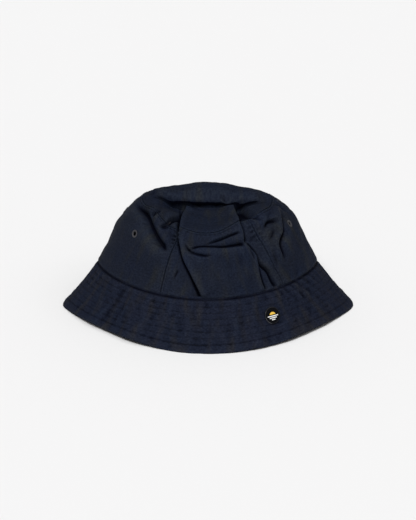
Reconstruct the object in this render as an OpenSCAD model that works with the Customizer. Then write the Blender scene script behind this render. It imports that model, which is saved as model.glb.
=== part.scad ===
// Soft bucket hat standing open on its brim.
//
// Four wall panels and a top panel, joined by taped seams, make the crown.  The
// quilted brim is two plies over a stiffener, in a front and a back half, with the
// seam allowance of its turned edge inside the hem.  A sweatband lines the base of
// the crown, four stitched eyelets vent it, and a pin badge with a butterfly clutch
// sits on the brim.
//
// Frame: the origin is on the table under the middle of the crown, +Z is up, the
// wearer faces -Y and +X is the wearer's left.  Angles round the hat count from the
// front, -Y, towards +X.

/* [Crown] */
// Half-width of the crown at the brim seam
base_w = 105.5; // [98:0.5:112]
// Half-depth of the crown at the brim seam
base_d = 87; // [80:0.5:95]
// Height of the crown's sides above the brim seam
crown_h = 67; // [60:0.5:80]
// Half-width of the top panel
top_w = 62; // [54:0.5:70]
// Reach of the top panel from its middle to the front seam
top_front = 57.5; // [50:0.5:62]
// Reach of the top panel from its middle to the back seam
top_back = 53; // [48:0.5:60]
// How much lower the top seam hangs at the front than at the sides
front_slump = 11.5; // [4:0.5:16]
// How much lower the top seam hangs at the back than at the sides
back_slump = 13.5; // [4:0.5:16]
// Rise of the soft roll across the back of the top
roll_h = 17; // [8:0.5:20]

/* [Brim] */
// Height of the brim seam above the table
brim_h = 45.5; // [38:0.5:55]
// Half-width of the brim's edge
edge_w = 138.5; // [125:0.5:150]
// Half-depth of the brim's edge
edge_d = 106; // [98:0.5:125]
// Height of the stitched hem along the edge
hem_h = 7; // [5:0.5:10]
// Rows of quilting above the hem
quilt_rows = 7; // [4:1:9]

/* [Panels] */
// Turn of the panels' centre line from the front
turn = 9; // [0:4.5:18]
// Half-angle of the front and back panels
panel_half = 36; // [27:4.5:45]
// Angle from the panels' centre line to the front eyelets
eyelet_angle = 66; // [60:1:72]
// Outer radius of an eyelet
eyelet_r = 3.8; // [3:0.1:4.5]

/* [Badge] */
// Angle round the brim at which the badge sits
badge_angle = 30; // [20:1:60]
// Height of the badge's pin above the table
badge_z = 25; // [18:0.5:30]
// Radius of the badge
badge_r = 8; // [6:0.5:10]
// Radius of the badge's pin
post_r = 0.6; // [0.5:0.05:0.8]

/* [Fabric] */
// Thickness of the crown's fabric
shell_t = 0.8; // [0.5:0.1:1]
// Thickness of the seam tape
tape_t = 0.4; // [0.3:0.1:0.6]
// Thickness of one brim ply
ply_t = 0.7; // [0.5:0.1:0.8]
// Thickness of the brim's stiffener
core_t = 0.9; // [0.6:0.1:1.2]
// Thickness of the sweatband's face
band_t = 0.7; // [0.5:0.1:1]
// Thickness of the sweatband's backing
backing_t = 0.6; // [0.4:0.1:0.8]

/* [Hidden] */
$fn = 48;

fabric = [0.11, 0.12, 0.15];
fabric_inside = [0.14, 0.15, 0.18];
thread = [0.16, 0.17, 0.20];
tape_colour = [0.09, 0.09, 0.11];
lining_colour = [0.20, 0.20, 0.22];

grid = 4.5;                // angle between neighbouring columns of the surface
rows = 8;                  // rows of a wall panel
gap = 0.05;                // between layers that lie on each other
full = 360 - grid;         // last column of a closed ring

// Shape of the wall's profile: how far its lower handle leans in, how far its upper
// handle stands outside the top seam, and how far below the top seam that is.
lean = 9;
shoulder = 21;
drop = 14.5;

// Exponents of the plan's outline.  Above 1 they pinch it at the sides, where the
// hat has been folded flat.
base_pinch = 1.4;
edge_pinch = 1.5;
top_pinch = 1;

// Depth below the surface at which each inner layer starts.
tape_at = shell_t + gap;
backing_at = tape_at + tape_t + 2 * gap;
band_at = backing_at + backing_t + gap;
label_at = band_at + band_t + gap;
label_t = 0.25;

// Seams and eyelets, as angles.
front_left_seam = turn - panel_half;
front_right_seam = turn + panel_half;
back_right_seam = turn + 180 - panel_half;
back_left_seam = turn + 180 + panel_half;
eyelet_t = 0.66;           // place of the eyelets, as a share of the wall
eyelet_bore = 1.5;
eyelet_barrel = 2.1;
tuck = 0.35;               // room between an eyelet's rings and the fabric

// ---- Surface ---------------------------------------------------------------

// Control points of a wall profile from the brim seam to the top seam.
function wall_curve(r0, r1, z1) = [
    [r0, brim_h],
    [r0 - lean, brim_h + 0.35 * (z1 - brim_h)],
    [r1 + shoulder, z1 - drop],
    [r1, z1]
];
side_z = brim_h + crown_h;
side_curve = wall_curve(base_w, top_w, side_z);
front_curve = wall_curve(base_d, top_front, side_z - front_slump);
back_curve = wall_curve(base_d, top_back, side_z - back_slump);

function bezier(c, t) =
    pow(1 - t, 3) * c[0] + 3 * pow(1 - t, 2) * t * c[1]
    + 3 * (1 - t) * t * t * c[2] + pow(t, 3) * c[3];

function slope(c, t) =
    pow(1 - t, 2) * (c[1] - c[0]) + 2 * (1 - t) * t * (c[2] - c[1])
    + t * t * (c[3] - c[2]);

// Point on a profile, moved out by o.  The lower end is trimmed level.
function profile(c, t, o) =
    t == 0 ? c[0] + [o, 0]
    : let (v = slope(c, t)) bezier(c, t) + o * [v[1], -v[0]] / norm(v);

// Point of a ring whose outline passes through side, front and back, each [r, z].
function ring_point(a, side, front, back, pinch) =
    let (c = cos(a), s = sin(a), end = c > 0 ? front : back)
    [side[0] * s, -end[0] * sign(c) * pow(abs(c), pinch), side[1] * s * s + end[1] * c * c];

// Point on the wall at angle a and share t of its height, moved out by o.
function wall_point(a, t, o = 0) =
    ring_point(a, profile(side_curve, t, o), profile(front_curve, t, o),
               profile(back_curve, t, o), base_pinch + (top_pinch - base_pinch) * t);

// Point on the top panel at share r of the way from its middle to its seam.  The
// front half lies slumped, and a soft roll stands across the back half.
function top_point(a, r, o = 0) =
    r == 1 ? wall_point(a, 1, o)
    : let (
        seam = wall_point(a, 1),
        x = seam[0] * r,
        y = seam[1] * r,
        bowl = seam[2] * r * r + (side_z - 11) * (1 - r * r),
        roll = roll_h / (1 + exp(-(y - 10.5) / 3)) * (1 - pow(r, 4)) * exp(-pow((y - 19) / 47, 2))
    )
    [x, y, bowl + roll + o];

// Point on the brim at angle a and height z, moved out by o along its normal.
brim_slant = norm([edge_w - base_w, brim_h]) / brim_h;
function brim_point(a, z, o = 0) =
    let (u = 1 - z / brim_h, out = o * brim_slant)
    ring_point(a, [base_w + (edge_w - base_w) * u + out, z],
               [base_d + (edge_d - base_d) * u + out, z],
               [base_d + (edge_d - base_d) * u + out, z],
               base_pinch + (edge_pinch - base_pinch) * u);

function unit(v) = v / norm(v);
function wall_normal(a, t) =
    unit(cross(wall_point(a + 1, t) - wall_point(a - 1, t),
               wall_point(a, t + 0.01) - wall_point(a, t - 0.01)));
function brim_normal(a, z) =
    unit(cross(brim_point(a + 1, z) - brim_point(a - 1, z),
               brim_point(a, z + 1) - brim_point(a, z - 1)));

function wall_row(from, to, t, o) = [for (a = [from:grid:to]) wall_point(a, t, o)];
function top_row(r, o) =
    r == 0 ? [top_point(0, 0, o)] : [for (a = [0:grid:full]) top_point(a, r, o)];
function brim_row(from, to, z, o) = [for (a = [from:grid:to]) brim_point(a, z, o)];

// ---- Solids ----------------------------------------------------------------

function triangles(a, b, c, d) =
    [for (f = [[a, b, c], [a, c, d]]) if (f[0] != f[1] && f[1] != f[2] && f[2] != f[0]) f];

// Solid between an outer and an inner stack of rows.  closed joins the last column
// to the first, and a last row of one point closes the top.
module skin(outer, inner, closed = false) {
    n = len(outer[0]);
    m = len(outer) - 1;
    outer_points = [for (r = outer) each r];
    inner_points = [for (r = inner) each r];
    base = len(outer_points);
    last = closed ? n - 1 : n - 2;
    function at(j, i) = j * n + i % len(outer[j]);
    faces = [
        for (j = [0:m - 1], i = [0:last])
            each concat(
                triangles(at(j, i), at(j + 1, i), at(j + 1, i + 1), at(j, i + 1)),
                triangles(base + at(j, i), base + at(j, i + 1),
                          base + at(j + 1, i + 1), base + at(j + 1, i))),
        for (i = [0:last])
            each concat(
                triangles(at(0, i), at(0, i + 1), base + at(0, i + 1), base + at(0, i)),
                len(outer[m]) == 1 ? []
                : triangles(at(m, i + 1), at(m, i), base + at(m, i), base + at(m, i + 1))),
        if (!closed)
            for (j = [0:m - 1])
                each concat(
                    triangles(at(j + 1, 0), at(j, 0), base + at(j, 0), base + at(j + 1, 0)),
                    triangles(at(j, n - 1), at(j + 1, n - 1),
                              base + at(j + 1, n - 1), base + at(j, n - 1)))
    ];
    polyhedron(points = concat(outer_points, inner_points), faces = faces);
}

// Layer of the wall between two angles and two rows, depth d below the surface and
// thickness t.
module wall_layer(from, to, low, high, d, t, closed = false) {
    skin([for (j = [low:high]) wall_row(from, to, j / rows, -d)],
         [for (j = [low:high]) wall_row(from, to, j / rows, -d - t)], closed);
}

// Layer of the brim between two angles and two heights.
module brim_layer(from, to, low, high, d, t) {
    skin([for (z = [low, high]) brim_row(from, to, z, -d)],
         [for (z = [low, high]) brim_row(from, to, z, -d - t)]);
}

// Moves children so that their +Z is the normal n at point p.
module on_surface(p, n) {
    translate(p)
        rotate([0, acos(n[2]), atan2(n[1], n[0])])
            children();
}

module at_eyelet(a) {
    on_surface(wall_point(a, eyelet_t), wall_normal(a, eyelet_t))
        children();
}

module at_badge() {
    on_surface(brim_point(badge_angle, badge_z), brim_normal(badge_angle, badge_z))
        children();
}

// ---- Crown -----------------------------------------------------------------

module wall_panel(from, to, eyelets = []) {
    color(fabric)
        difference() {
            wall_layer(from, to, 0, rows, 0, shell_t);
            for (a = eyelets)
                at_eyelet(a)
                    cylinder(r = eyelet_barrel + 0.1, h = 8, center = true);
        }
}

module front_panel() {
    wall_panel(front_left_seam, front_right_seam);
}

module right_side_panel() {
    wall_panel(front_right_seam, back_right_seam, [turn + eyelet_angle, turn + 180 - eyelet_angle]);
}

module back_panel() {
    wall_panel(back_right_seam, back_left_seam);
}

module left_side_panel() {
    wall_panel(back_left_seam, front_left_seam + 360,
               [turn + 180 + eyelet_angle, turn + 360 - eyelet_angle]);
}

module top_panel() {
    shares = [1, 0.8, 0.6, 0.4, 0.2, 0];
    color(fabric)
        skin([for (r = shares) top_row(r, 0)], [for (r = shares) top_row(r, -shell_t)], true);
}

// Tape over the inside of a wall seam.
module seam_tape(seam) {
    color(tape_colour)
        wall_layer(seam - grid, seam + grid, 0, rows - 1, tape_at, tape_t);
}

// Tape over the inside of the top seam, from the last row of the wall on to the top.
module top_seam_tape() {
    function rows_at(d) = [
        [for (a = [0:grid:full]) wall_point(a, (rows - 1) / rows, -d)],
        [for (a = [0:grid:full]) wall_point(a, 1, -d)],
        top_row(0.8, -d)
    ];
    color(tape_colour)
        skin(rows_at(tape_at), rows_at(tape_at + tape_t), true);
}

// Buttonhole-stitched eyelet: a ring outside and a ring inside, joined through the
// fabric.
module eyelet(a) {
    ring_t = 0.5;
    top = tuck + ring_t;
    bottom = -shell_t - tuck - ring_t;
    color(thread)
        at_eyelet(a)
            rotate_extrude()
                polygon([
                    [eyelet_bore, bottom], [eyelet_r - 0.3, bottom], [eyelet_r, bottom + ring_t],
                    [eyelet_barrel, bottom + ring_t], [eyelet_barrel, tuck], [eyelet_r, tuck],
                    [eyelet_r - 0.3, top], [eyelet_bore, top]
                ]);
}

// ---- Brim ------------------------------------------------------------------

brim_top = brim_h - gap;
core_at = ply_t + gap;
under_at = core_at + core_t + gap;

module pin_hole() {
    at_badge()
        cylinder(r = post_r + 0.05, h = 12, center = true);
}

module brim_front(low, high, d, t) {
    difference() {
        brim_layer(-90, 90, low, high, d, t);
        pin_hole();
    }
}

module brim_top_front() {
    color(fabric)
        brim_front(0, brim_top, 0, ply_t);
}

module brim_top_back() {
    color(fabric)
        brim_layer(90, 270, 0, brim_top, 0, ply_t);
}

module brim_stiffener_front() {
    color(lining_colour)
        brim_front(hem_h, brim_top, core_at, core_t);
}

module brim_stiffener_back() {
    color(lining_colour)
        brim_layer(90, 270, hem_h, brim_top, core_at, core_t);
}

module brim_under_front() {
    color(fabric_inside)
        brim_front(0, brim_top, under_at, ply_t);
}

module brim_under_back() {
    color(fabric_inside)
        brim_layer(90, 270, 0, brim_top, under_at, ply_t);
}

// Turned seam allowance between the plies, inside the hem.
module hem_allowance(from, to) {
    color(fabric)
        brim_layer(from, to, 0.5, hem_h - 0.5, core_at, core_t);
}

// ---- Inside ----------------------------------------------------------------

band_rows = 3;

module sweatband() {
    color(lining_colour)
        wall_layer(0, full, 0, band_rows, band_at, band_t, true);
}

module sweatband_backing() {
    color(tape_colour)
        wall_layer(0, full, 0, band_rows, backing_at, backing_t, true);
}

module brand_label() {
    color(fabric_inside)
        wall_layer(turn + 180 - 2 * grid, turn + 180 + 2 * grid, 1, band_rows, label_at, label_t);
}

module size_label() {
    color("gainsboro")
        wall_layer(turn + 180 + 3 * grid, turn + 180 + 4 * grid, 1, band_rows - 1, label_at, label_t);
}

module care_label() {
    color("whitesmoke")
        wall_layer(back_left_seam + 3 * grid, back_left_seam + 5 * grid, band_rows, band_rows + 2,
                   tape_at, label_t);
}

// ---- Stitching -------------------------------------------------------------

thread_w = 0.4;
thread_t = 0.3;

// Closed row of stitches round the brim at height z.
module brim_thread(z) {
    skin([for (h = [z, z + thread_w]) brim_row(0, full, h, gap + thread_t)],
         [for (h = [z, z + thread_w]) brim_row(0, full, h, gap)], true);
}

module brim_stitching() {
    pitch = (brim_h - hem_h - 1.5) / quilt_rows;
    color(thread)
        for (k = [0:quilt_rows])
            brim_thread(hem_h + k * pitch);
}

// Line of stitches beside a wall seam, w degrees from it.
module wall_thread(a, w) {
    half = 0.12;
    function side_rows(o) = [
        for (j = [0:rows])
            [for (b = [a + w - half, a + w + half])
                wall_point(b, min(max(j / rows, 0.01), 0.95), o)]
    ];
    skin(side_rows(2 * gap + thread_t), side_rows(2 * gap));
}

module crown_stitching() {
    beside = 1.7;
    ring = [0.965, 0.97];
    color(thread) {
        for (seam = [front_left_seam, front_right_seam, back_right_seam, back_left_seam],
             w = [-beside, beside])
            wall_thread(seam, w);
        skin([for (t = ring) [for (a = [0:grid:full]) wall_point(a, t, 2 * gap + thread_t)]],
             [for (t = ring) [for (a = [0:grid:full]) wall_point(a, t, 2 * gap)]], true);
    }
}

module sweatband_stitching() {
    low = 0.03;
    high = 0.036;
    depth = band_at + band_t + 3 * gap;
    color(thread)
        skin([for (t = [low, high]) [for (a = [0:grid:full]) wall_point(a, t, -depth)]],
             [for (t = [low, high]) [for (a = [0:grid:full]) wall_point(a, t, -depth - thread_t)]],
             true);
}

// ---- Badge -----------------------------------------------------------------

cup_z = 0.35;              // the cup's back above the domed fabric
cup_t = 1.6;
rim_t = 0.6;
recess = 0.7;              // depth of the cup's recess
enamel_top = cup_z + cup_t - 0.1;
motif_t = 0.2;
post_tip_z = -6.4;
clutch_z = -3;             // the clutch's face, under the brim
barrel_r = 2.3;

module badge_cup() {
    top = cup_z + cup_t;
    color("silver")
        at_badge()
            rotate_extrude()
                polygon([
                    [0, cup_z], [badge_r - 0.5, cup_z], [badge_r, cup_z + 0.5],
                    [badge_r, top - 0.3], [badge_r - 0.3, top], [badge_r - rim_t, top],
                    [badge_r - rim_t, top - recess], [0, top - recess]
                ]);
}

module badge_enamel() {
    low = cup_z + cup_t - recess;
    color("black")
        at_badge()
            translate([0, 0, low])
                cylinder(r = badge_r - rim_t, h = enamel_top - low);
}

// Half-disc above the horizon.  The badge's up is its local -X.
module badge_sun() {
    color("gold")
        at_badge()
            translate([0, 0, enamel_top])
                linear_extrude(motif_t)
                    intersection() {
                        circle(r = 3.2);
                        translate([-10, -5])
                            square([9.2, 10]);
                    }
}

module badge_horizon() {
    color("white")
        at_badge()
            translate([0, 0, enamel_top])
                for (bar = [[0.2, 5.6], [1.9, 3.8], [3.6, 1.9]])
                    translate([bar[0], -bar[1], 0])
                        cube([0.9, 2 * bar[1], motif_t]);
}

module badge_post() {
    tip = 1;
    color("silver")
        at_badge() {
            translate([0, 0, post_tip_z + tip])
                cylinder(r = post_r, h = cup_z - post_tip_z - tip);
            translate([0, 0, post_tip_z])
                cylinder(r1 = 0.15, r2 = post_r, h = tip);
        }
}

module clutch_bore() {
    translate([0, 0, clutch_z - 6])
        cylinder(r = post_r + 0.05, h = 8);
}

module clutch_base() {
    color("darkgoldenrod")
        at_badge()
            difference() {
                union() {
                    translate([0, 0, clutch_z - 0.7])
                        cylinder(r = 5.2, h = 0.7);
                    translate([0, 0, clutch_z - 3.8])
                        cylinder(r = barrel_r, h = 3.2);
                }
                clutch_bore();
            }
}

// Two sprung ears on the barrel, squeezed together to let go of the pin.
module clutch_wings() {
    ear_t = 0.5;
    color("goldenrod")
        at_badge()
            for (side = [0, 180])
                rotate([0, 0, side])
                    translate([barrel_r, -2, clutch_z - 3.6]) {
                        cube([ear_t, 4, 2.6]);
                        translate([ear_t, 0, 0])
                            cube([2.6, 4, ear_t]);
                    }
}

// ---- Nodes -----------------------------------------------------------------

top_panel();
front_panel();
left_side_panel();
right_side_panel();
back_panel();
top_seam_tape();
seam_tape(front_left_seam);  // front_left_seam_tape
seam_tape(front_right_seam);  // front_right_seam_tape
seam_tape(back_left_seam);  // back_left_seam_tape
seam_tape(back_right_seam);  // back_right_seam_tape
eyelet(turn - eyelet_angle);  // front_left_eyelet
eyelet(turn + eyelet_angle);  // front_right_eyelet
eyelet(turn + 180 + eyelet_angle);  // back_left_eyelet
eyelet(turn + 180 - eyelet_angle);  // back_right_eyelet
brim_top_front();
brim_top_back();
brim_stiffener_front();
brim_stiffener_back();
brim_under_front();
brim_under_back();
hem_allowance(-90, 90);  // hem_allowance_front
hem_allowance(90, 270);  // hem_allowance_back
sweatband();
sweatband_backing();
brand_label();
size_label();
care_label();
brim_stitching();
crown_stitching();
sweatband_stitching();
badge_cup();
badge_enamel();
badge_sun();
badge_horizon();
badge_post();
clutch_base();
clutch_wings();
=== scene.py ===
"""Looks of a soft bucket hat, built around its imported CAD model.

The cloth is drawn from the same smooth surface as the CAD solids, at about 0.7 mm a
step, and shaped by folds, seams, quilting and puckers.  Sizes are in millimetres and
angles in degrees round the hat from the front (-Y) towards +X, until the last step of
each mesh, which is in metres.  A point of the cloth is given by its angle a and by a
share: t up the wall, r out to the top panel's rim, or u down the brim.
"""

import bpy
import numpy as np
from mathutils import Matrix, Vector


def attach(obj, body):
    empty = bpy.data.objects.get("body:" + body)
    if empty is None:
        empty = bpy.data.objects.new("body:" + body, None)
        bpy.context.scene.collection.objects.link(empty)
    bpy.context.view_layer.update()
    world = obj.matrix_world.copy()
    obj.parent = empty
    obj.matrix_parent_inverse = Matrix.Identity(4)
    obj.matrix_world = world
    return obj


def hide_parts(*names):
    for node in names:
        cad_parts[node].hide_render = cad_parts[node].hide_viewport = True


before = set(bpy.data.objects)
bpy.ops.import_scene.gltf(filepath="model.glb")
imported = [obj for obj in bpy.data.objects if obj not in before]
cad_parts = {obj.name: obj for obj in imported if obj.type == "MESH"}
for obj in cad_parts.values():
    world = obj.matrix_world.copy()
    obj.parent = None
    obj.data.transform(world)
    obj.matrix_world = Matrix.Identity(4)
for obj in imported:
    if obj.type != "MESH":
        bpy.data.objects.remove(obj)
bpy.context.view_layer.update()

# ---- Sizes, as in the CAD source -------------------------

BASE_W, BASE_D = 105.5, 87.0                    # half width and depth at the brim's seam
CROWN_H = 67.0
TOP_W, TOP_FRONT, TOP_BACK = 62.0, 57.5, 53.0   # reach of the top seam
FRONT_SLUMP, BACK_SLUMP = 11.5, 13.5            # how far it sags at the front and back
ROLL_H = 17.0
BRIM_H = 45.5
EDGE_W, EDGE_D = 138.5, 106.0                   # half width and depth of the brim's edge
HEM_H = 7.0
QUILT_ROWS = 7
TURN, PANEL_HALF, EYELET_ANGLE = 9.0, 36.0, 66.0
EYELET_T = 0.66
BADGE_ANGLE, BADGE_Z = 30.0, 25.0
LEAN, SHOULDER, DROP = 9.0, 21.0, 14.5          # how the wall's curve bends
BASE_PINCH, EDGE_PINCH, TOP_PINCH = 1.4, 1.5, 1.0
SIDE_Z = BRIM_H + CROWN_H

SHELL_T, TAPE_T, PLY_T, CORE_T = 0.8, 0.4, 0.7, 0.9
BAND_T, BACKING_T, LABEL_T = 0.7, 0.6, 0.25
GAP = 0.05
TAPE_AT = SHELL_T + GAP
BACKING_AT = TAPE_AT + TAPE_T + 2 * GAP
BAND_AT = BACKING_AT + BACKING_T + GAP
LABEL_AT = BAND_AT + BAND_T + GAP
BRIM_T = 2 * PLY_T + CORE_T + 2 * GAP

FRONT_LEFT, FRONT_RIGHT = TURN - PANEL_HALF, TURN + PANEL_HALF
BACK_RIGHT, BACK_LEFT = TURN + 180 - PANEL_HALF, TURN + 180 + PANEL_HALF
SEAMS = {
    "front_left": FRONT_LEFT,
    "front_right": FRONT_RIGHT,
    "back_right": BACK_RIGHT,
    "back_left": BACK_LEFT,
}

VIEW_ELEVATION = 24.0      # degrees above the horizon that the hat is seen from
STEP = 0.45                # degrees between columns of the crown's cloth
COARSE = 1
WALL_RISE, TOP_REACH, BRIM_FALL = 72, 59, 56    # lengths along the cloth of each part
WALL_STRETCH, BRIM_STRETCH = 1.55, 2.05         # millimetres of cloth to a degree
STIFF_START = 0.04         # share of the brim where its stiffener starts
TAPE_LOW, TAPE_FAR = 0.875, 0.82                # where the top tape ends, below and above
BACKING_TOP, BAND_TOP = 0.37, 0.378             # how far up the wall the sweatband goes
BRAND_PLACE = (TURN + 180 - 9, TURN + 180 + 9, 0.12, 0.35)
SIZE_PLACE = (TURN + 180 + 13.5, TURN + 180 + 18, 0.14, 0.25)
CARE_PLACE = (BACK_LEFT + 13.5, BACK_LEFT + 22.5, 0.376, 0.62)

# ---- Small helpers ---------------------------------------


def smooth(low, high, x):
    """0 below low, 1 above high and a smooth ramp between; low may exceed high."""
    s = np.clip((x - low) / (high - low), 0, 1)
    return s * s * (3 - 2 * s)


def bell(x, width):
    return np.exp(-((x / width) ** 2))


def apart(a, b):
    """Angle from b to a, from -180 to 180."""
    return np.mod(a - b + 180, 360) - 180


def unit(v):
    return v / np.maximum(np.linalg.norm(v, axis=-1, keepdims=True), 1e-9)


def ripple(x, y, length, seed, stretch=1.0):
    """Smooth unit-variance noise of about one wavelength; stretch lengthens it along y."""
    rng = np.random.default_rng(seed)
    total = 0.0
    for _ in range(14):
        turn = rng.uniform(0, 2 * np.pi)
        k = 2 * np.pi / (length * rng.uniform(0.65, 1.6))
        phase = rng.uniform(0, 2 * np.pi)
        total = total + np.cos(k * (x * np.cos(turn) + y * np.sin(turn) / stretch) + phase)
    return total / np.sqrt(7)


# ---- The smooth surface ----------------------------------


def wall_curve(r0, r1, z1):
    """Bezier profile of the wall from the brim's seam to the top seam."""
    return np.array([
        (r0, BRIM_H),
        (r0 - LEAN, BRIM_H + 0.35 * (z1 - BRIM_H)),
        (r1 + SHOULDER, z1 - DROP),
        (r1, z1),
    ])


SIDE_CURVE = wall_curve(BASE_W, TOP_W, SIDE_Z)
FRONT_CURVE = wall_curve(BASE_D, TOP_FRONT, SIDE_Z - FRONT_SLUMP)
BACK_CURVE = wall_curve(BASE_D, TOP_BACK, SIDE_Z - BACK_SLUMP)


def profile(c, t, out):
    """Points at share t of a profile, moved outwards."""
    t = np.asarray(t, float)[..., None]
    s = 1 - t
    point = s**3 * c[0] + 3 * s**2 * t * c[1] + 3 * s * t * t * c[2] + t**3 * c[3]
    ahead = s**2 * (c[1] - c[0]) + 2 * s * t * (c[2] - c[1]) + t * t * (c[3] - c[2])
    n = unit(np.stack([ahead[..., 1], -ahead[..., 0]], -1))
    return point + np.asarray(out, float)[..., None] * n


def ring(a, side, front, back, pinch):
    """Closed curve round the hat through its (reach, height) at the side, front and back."""
    c, s = np.cos(np.radians(a)), np.sin(np.radians(a))
    depth = np.where(c > 0, front[..., 0], back[..., 0])
    height = np.where(c > 0, front[..., 1], back[..., 1])
    return np.stack([
        side[..., 0] * s,
        -depth * np.sign(c) * np.abs(c) ** pinch,
        side[..., 1] * s * s + height * c * c,
    ], -1)


def settle(p):
    """Lets both shoulders of the crown sink a little, and props up its front corners and
    the right of the front seam."""
    x, y, z = p[..., 0], p[..., 1], p[..., 2]
    sink = (3.2 * bell(x - 48, 24) + 2.6 * bell(x + 40, 15)) * smooth(-32, -4, y)
    prop = 7.0 * bell(x + 50, 14) * bell(y + 31, 16) + 2.5 * bell(x - 50, 14) * bell(y + 34, 15)
    prop += 7.5 * bell(x - 29, 15) * bell(y + 42, 18)
    p[..., 2] = z + (prop - sink) * smooth(78, 104, z)
    return p


def wall(a, t, out=0.0):
    """The smooth wall's outer face, moved outwards."""
    a, t, out = np.broadcast_arrays(a, t, out)
    return settle(ring(a, profile(SIDE_CURVE, t, out), profile(FRONT_CURVE, t, out),
                       profile(BACK_CURVE, t, out), BASE_PINCH + (TOP_PINCH - BASE_PINCH) * t))


CREASE_X = (-62, -50, -40, -27, -14, 8, 25, 38, 50, 62)
CREASE_Y = (9, 9, 8, 5, 4, 4.5, 4.5, 3, 1, -2)


def top(a, r):
    """The top panel: a slumped front half, and a soft roll that hangs over it."""
    a, r = np.broadcast_arrays(a, r)
    seam = wall(a, np.ones_like(r))
    x, y = seam[..., 0] * r, seam[..., 1] * r
    inside = 1 - r**4
    z = seam[..., 2] * r * r + (SIDE_Z - 11) * (1 - r * r)
    z = z + 4.0 * bell(x + 44, 13) * bell(y - 2, 12) * inside
    behind = y - np.interp(x, CREASE_X, CREASE_Y)
    crease = smooth(-55, -45, x) * smooth(58, 44, x)
    droopy = bell(x + 35, 12)
    steep = 0.72 * smooth(1.0, 9.5 + 9 * (1 - crease), behind) + 0.28 * smooth(4, 20, behind)
    swell = ROLL_H * steep * bell(y - 19, 47)
    groove = 5.0 * bell(behind + 0.3, 2.0) * crease
    lap = (7.5 + 4.0 * droopy) * bell(behind - 5.6 - 2.0 * droopy, 3.0 + 2.2 * droopy) * crease
    droop = 2.6 * bell(x - 40, 22) + 2.4 * bell(x + 36, 16) - 0.8 * bell(x + 4, 26)
    z = z + (swell - groove) * inside - droop * smooth(0, 14, behind) * inside
    return np.stack([x, y - lap * inside, z], -1)


def brim(a, u):
    """The brim's upper face from its seam, u = 0, to its edge, u = 1."""
    a, u = np.broadcast_arrays(a, u)
    z = BRIM_H * (1 - u)
    side = np.stack([BASE_W + (EDGE_W - BASE_W) * u, z], -1)
    end = np.stack([BASE_D + (EDGE_D - BASE_D) * u, z], -1)
    p = ring(a, side, end, end, BASE_PINCH + (EDGE_PINCH - BASE_PINCH) * u)
    p[..., 2] += BRIM_LIFT * u * (1 - np.cos(np.radians(4 * a))) / 2 * away_from_badge(a, u)
    c, s = np.cos(np.radians(a)), np.sin(np.radians(a))
    p[..., 1] -= FRONT_REACH * u**4 * smooth(-0.1, 0.5, c) * (
        1 - 0.65 * bell(s + 0.85, 0.35) - 0.25 * bell(s - 0.85, 0.3) + 0.3 * bell(s - 0.5, 0.2))
    tip = np.where(s > 0, 4.2 * np.abs(s)**16, 3.2 * np.abs(s)**28) - 1.4 * bell(c, 0.12)
    p[..., 0] += tip * u**5 * np.sign(s)
    return p


BRIM_LIFT = 4.2            # how far the edge lifts off the table between its four feet
FRONT_REACH = 4.0          # how far the front edge slides forward on the table


def away_from_badge(a, u, reach=17.0):
    """0 under the badge, which presses the brim flat, rising to 1 around it."""
    da = apart(a, BADGE_ANGLE) * 1.75
    dz = (BRIM_H * (1 - u) - BADGE_Z) * 1.2
    return smooth(9.0, reach, np.hypot(da, dz))


def normal_of(surface, a, share, turn=0.4, step=0.004):
    """Unit normal of a surface that is given by an angle and a share."""
    ahead = surface(a, np.minimum(share + step, 1)) - surface(a, np.maximum(share - step, 0))
    return unit(np.cross(surface(a + turn, share) - surface(a - turn, share), ahead))


def wall_normal(a, t):
    return normal_of(wall, a, t)


def top_normal(a, r):
    seam = wall_normal(a, np.ones_like(r))
    blend = (r**3)[..., None]
    return unit(seam * blend + np.array([0, 0, 1.0]) * (1 - blend))


def brim_normal(a, u):
    return -normal_of(brim, a, np.maximum(u, 0))


# ---- Folds of the crown ----------------------------------
# Folds are laid out as seen from the front, VIEW_ELEVATION above the horizon: x to the
# right and v up, from the hat's origin.  A line runs from left to right or from top to
# bottom, and its plus side is then above it or to its right.

ELEVATION = np.radians(VIEW_ELEVATION)


def front_view(p):
    return p[..., 0], p[..., 2] * np.cos(ELEVATION) + p[..., 1] * np.sin(ELEVATION)


def spline(points, steps=7):
    """Catmull-Rom curve through the points."""
    p = np.array(points, float)
    p = np.vstack([2 * p[0] - p[1], p, 2 * p[-1] - p[-2]])
    t = np.linspace(0, 1, steps, endpoint=False)[:, None]
    parts = []
    for i in range(1, len(p) - 2):
        a, b, c, d = p[i - 1:i + 3]
        parts.append(0.5 * (2 * b + (c - a) * t + (2 * a - 5 * b + 4 * c - d) * t**2
                            + (3 * b - a - 3 * c + d) * t**3))
    return np.vstack(parts + [p[-2:-1]])


def along(x, v, points):
    """Signed distance to a curve, and how far along it the nearest point is, 0 to 1."""
    line = spline(points)
    best = np.full(x.shape, 1e9)
    side = np.ones(x.shape)
    place = np.zeros(x.shape)
    n = len(line) - 1
    for i in range(n):
        (px, pv), (dx, dv) = line[i], line[i + 1] - line[i]
        s = np.clip(((x - px) * dx + (v - pv) * dv) / (dx * dx + dv * dv), 0, 1)
        ox, ov = x - px - s * dx, v - pv - s * dv
        d = np.hypot(ox, ov)
        near = d < best
        best = np.where(near, d, best)
        side = np.where(near, np.sign(dx * ov - dv * ox), side)
        place = np.where(near, (i + s) / n, place)
    return best * side, place


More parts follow.
